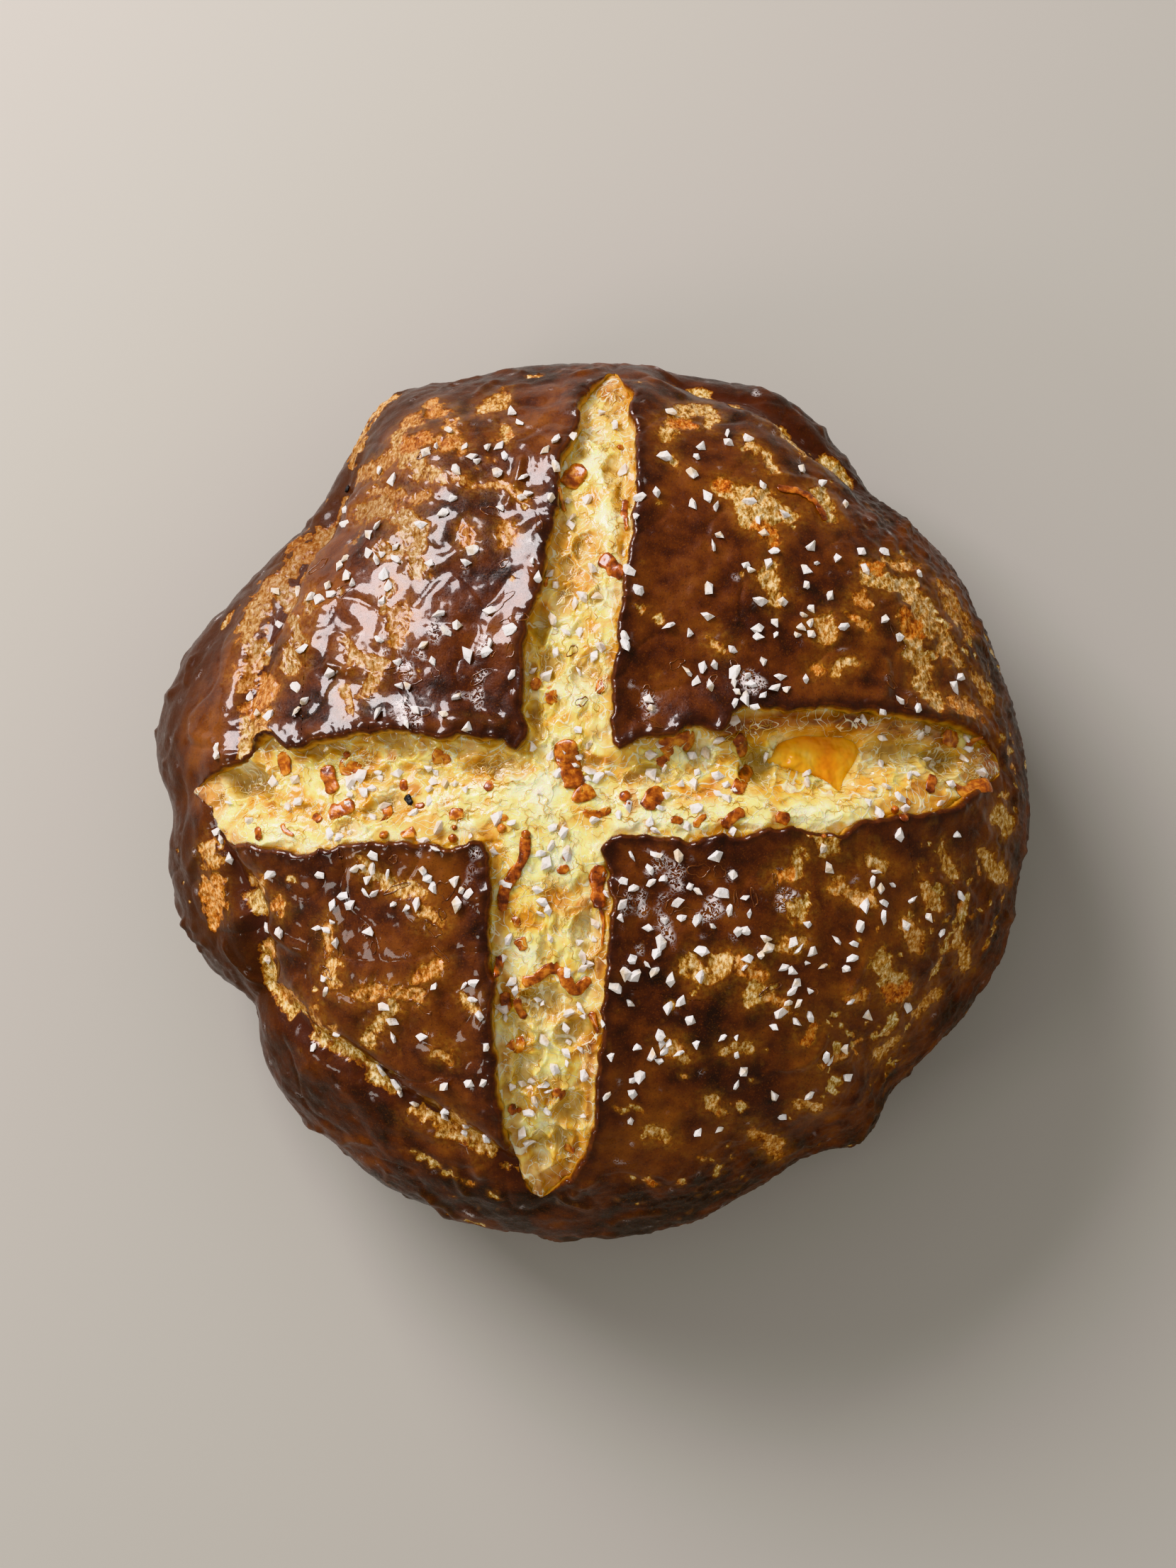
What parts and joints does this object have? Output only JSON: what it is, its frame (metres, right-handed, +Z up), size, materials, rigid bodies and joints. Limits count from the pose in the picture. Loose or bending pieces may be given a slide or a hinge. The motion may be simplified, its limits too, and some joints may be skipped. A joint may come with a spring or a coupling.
{
  "type": "cheddar sourdough loaf",
  "caption": "Round sourdough loaf with a cross cut, a dark glossy crust, open crumb, toasted cheddar shreds, coarse salt and a pocket of molten cheddar.",
  "frame": {"origin": "middle of the flat base that the loaf rests on", "axes": "+Z up, +X to the right and +Y to the back of the loaf as the picture shows it from above"},
  "size_m": [0.219, 0.2206, 0.0988],
  "materials": {
    "crust": "dark baked crust with a glossy glaze",
    "cheddar": "glossy molten cheddar"
  },
  "bodies": {
    "root": {"loaf": "crust", "cheese_pool": "cheddar"}
  },
  "joints": []
}
